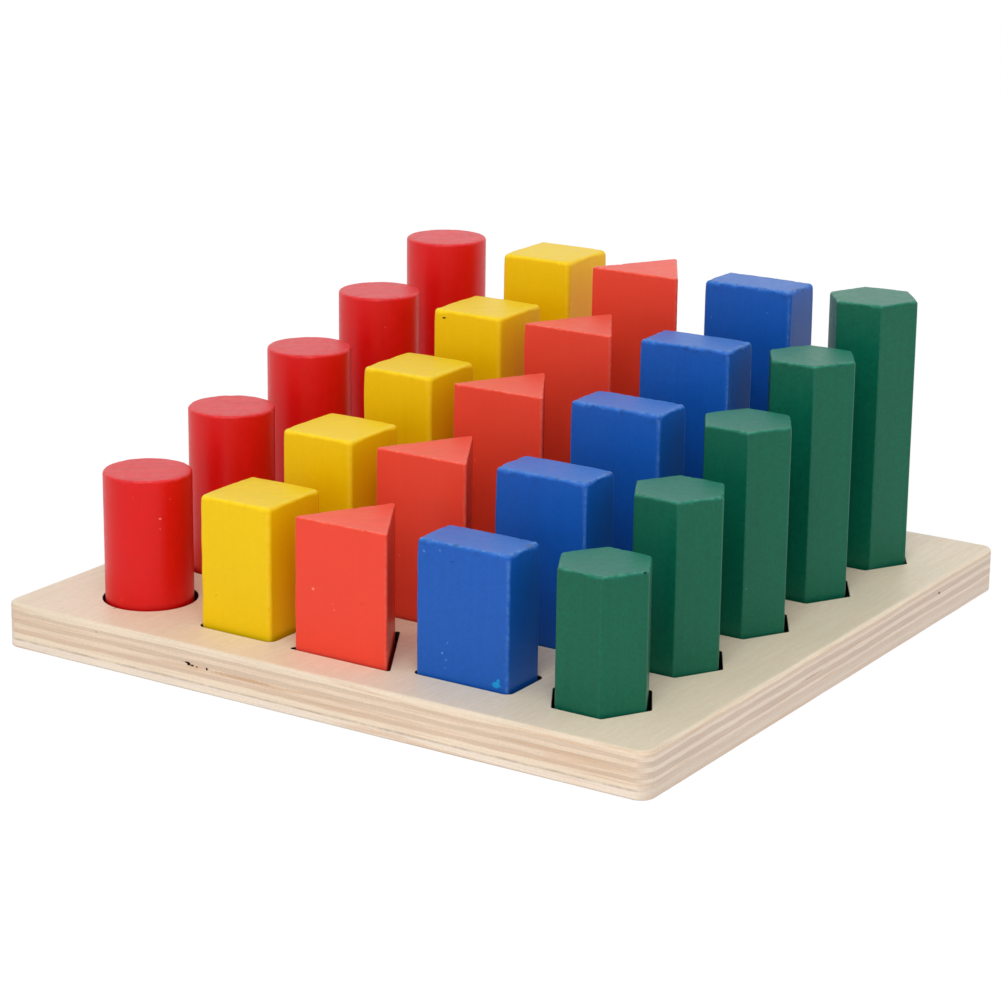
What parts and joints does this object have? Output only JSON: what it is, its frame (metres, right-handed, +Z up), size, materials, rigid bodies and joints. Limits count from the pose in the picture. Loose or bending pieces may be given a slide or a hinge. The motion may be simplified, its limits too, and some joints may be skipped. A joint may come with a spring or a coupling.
{
  "type": "shape sorting block board",
  "caption": "Square plywood board with shape-matched sockets that hold loose painted wooden blocks in stepped heights; every block lifts out.",
  "frame": {"origin": "centre of the board's underside, on the surface it rests on", "axes": "+Z up; +X along the front edge from the cylinders to the hexagons; +Y from the shortest row at the front to the tallest row at the back"},
  "size_m": [0.24, 0.2402, 0.1058],
  "materials": {
    "plywood": "bare birch plywood, sanded",
    "panel_plywood": "bare thin plywood panel, glued",
    "red_paint": "satin red paint on solid wood",
    "yellow_paint": "satin yellow paint on solid wood",
    "orange_red_paint": "satin orange-red paint on solid wood",
    "blue_paint": "satin blue paint on solid wood",
    "green_paint": "satin green paint on solid wood"
  },
  "bodies": {
    "board": {"socket_board": "plywood", "base_panel": "panel_plywood"},
    "cylinder_block_1_body": {"cylinder_block_1": "red_paint"},
    "cylinder_block_2_body": {"cylinder_block_2": "red_paint"},
    "cylinder_block_3_body": {"cylinder_block_3": "red_paint"},
    "cylinder_block_4_body": {"cylinder_block_4": "red_paint"},
    "cylinder_block_5_body": {"cylinder_block_5": "red_paint"},
    "square_block_1_body": {"square_block_1": "yellow_paint"},
    "square_block_2_body": {"square_block_2": "yellow_paint"},
    "square_block_3_body": {"square_block_3": "yellow_paint"},
    "square_block_4_body": {"square_block_4": "yellow_paint"},
    "square_block_5_body": {"square_block_5": "yellow_paint"},
    "triangle_block_1_body": {"triangle_block_1": "orange_red_paint"},
    "triangle_block_2_body": {"triangle_block_2": "orange_red_paint"},
    "triangle_block_3_body": {"triangle_block_3": "orange_red_paint"},
    "triangle_block_4_body": {"triangle_block_4": "orange_red_paint"},
    "triangle_block_5_body": {"triangle_block_5": "orange_red_paint"},
    "rectangle_block_1_body": {"rectangle_block_1": "blue_paint"},
    "rectangle_block_2_body": {"rectangle_block_2": "blue_paint"},
    "rectangle_block_3_body": {"rectangle_block_3": "blue_paint"},
    "rectangle_block_4_body": {"rectangle_block_4": "blue_paint"},
    "rectangle_block_5_body": {"rectangle_block_5": "blue_paint"},
    "hexagon_block_1_body": {"hexagon_block_1": "green_paint"},
    "hexagon_block_2_body": {"hexagon_block_2": "green_paint"},
    "hexagon_block_3_body": {"hexagon_block_3": "green_paint"},
    "hexagon_block_4_body": {"hexagon_block_4": "green_paint"},
    "hexagon_block_5_body": {"hexagon_block_5": "green_paint"}
  },
  "joints": [
    {"name": "cylinder_block_1_lift", "type": "slide", "parent": "board", "child": "cylinder_block_1_body", "axis": [0, 0, 1], "range_m": [0, 0.11]},
    {"name": "cylinder_block_2_lift", "type": "slide", "parent": "board", "child": "cylinder_block_2_body", "axis": [0, 0, 1], "range_m": [0, 0.11]},
    {"name": "cylinder_block_3_lift", "type": "slide", "parent": "board", "child": "cylinder_block_3_body", "axis": [0, 0, 1], "range_m": [0, 0.11]},
    {"name": "cylinder_block_4_lift", "type": "slide", "parent": "board", "child": "cylinder_block_4_body", "axis": [0, 0, 1], "range_m": [0, 0.11]},
    {"name": "cylinder_block_5_lift", "type": "slide", "parent": "board", "child": "cylinder_block_5_body", "axis": [0, 0, 1], "range_m": [0, 0.11]},
    {"name": "square_block_1_lift", "type": "slide", "parent": "board", "child": "square_block_1_body", "axis": [0, 0, 1], "range_m": [0, 0.11]},
    {"name": "square_block_2_lift", "type": "slide", "parent": "board", "child": "square_block_2_body", "axis": [0, 0, 1], "range_m": [0, 0.11]},
    {"name": "square_block_3_lift", "type": "slide", "parent": "board", "child": "square_block_3_body", "axis": [0, 0, 1], "range_m": [0, 0.11]},
    {"name": "square_block_4_lift", "type": "slide", "parent": "board", "child": "square_block_4_body", "axis": [0, 0, 1], "range_m": [0, 0.11]},
    {"name": "square_block_5_lift", "type": "slide", "parent": "board", "child": "square_block_5_body", "axis": [0, 0, 1], "range_m": [0, 0.11]},
    {"name": "triangle_block_1_lift", "type": "slide", "parent": "board", "child": "triangle_block_1_body", "axis": [0, 0, 1], "range_m": [0, 0.11]},
    {"name": "triangle_block_2_lift", "type": "slide", "parent": "board", "child": "triangle_block_2_body", "axis": [0, 0, 1], "range_m": [0, 0.11]},
    {"name": "triangle_block_3_lift", "type": "slide", "parent": "board", "child": "triangle_block_3_body", "axis": [0, 0, 1], "range_m": [0, 0.11]},
    {"name": "triangle_block_4_lift", "type": "slide", "parent": "board", "child": "triangle_block_4_body", "axis": [0, 0, 1], "range_m": [0, 0.11]},
    {"name": "triangle_block_5_lift", "type": "slide", "parent": "board", "child": "triangle_block_5_body", "axis": [0, 0, 1], "range_m": [0, 0.11]},
    {"name": "rectangle_block_1_lift", "type": "slide", "parent": "board", "child": "rectangle_block_1_body", "axis": [0, 0, 1], "range_m": [0, 0.11]},
    {"name": "rectangle_block_2_lift", "type": "slide", "parent": "board", "child": "rectangle_block_2_body", "axis": [0, 0, 1], "range_m": [0, 0.11]},
    {"name": "rectangle_block_3_lift", "type": "slide", "parent": "board", "child": "rectangle_block_3_body", "axis": [0, 0, 1], "range_m": [0, 0.11]},
    {"name": "rectangle_block_4_lift", "type": "slide", "parent": "board", "child": "rectangle_block_4_body", "axis": [0, 0, 1], "range_m": [0, 0.11]},
    {"name": "rectangle_block_5_lift", "type": "slide", "parent": "board", "child": "rectangle_block_5_body", "axis": [0, 0, 1], "range_m": [0, 0.11]},
    {"name": "hexagon_block_1_lift", "type": "slide", "parent": "board", "child": "hexagon_block_1_body", "axis": [0, 0, 1], "range_m": [0, 0.11]},
    {"name": "hexagon_block_2_lift", "type": "slide", "parent": "board", "child": "hexagon_block_2_body", "axis": [0, 0, 1], "range_m": [0, 0.11]},
    {"name": "hexagon_block_3_lift", "type": "slide", "parent": "board", "child": "hexagon_block_3_body", "axis": [0, 0, 1], "range_m": [0, 0.11]},
    {"name": "hexagon_block_4_lift", "type": "slide", "parent": "board", "child": "hexagon_block_4_body", "axis": [0, 0, 1], "range_m": [0, 0.11]},
    {"name": "hexagon_block_5_lift", "type": "slide", "parent": "board", "child": "hexagon_block_5_body", "axis": [0, 0, 1], "range_m": [0, 0.11]}
  ]
}
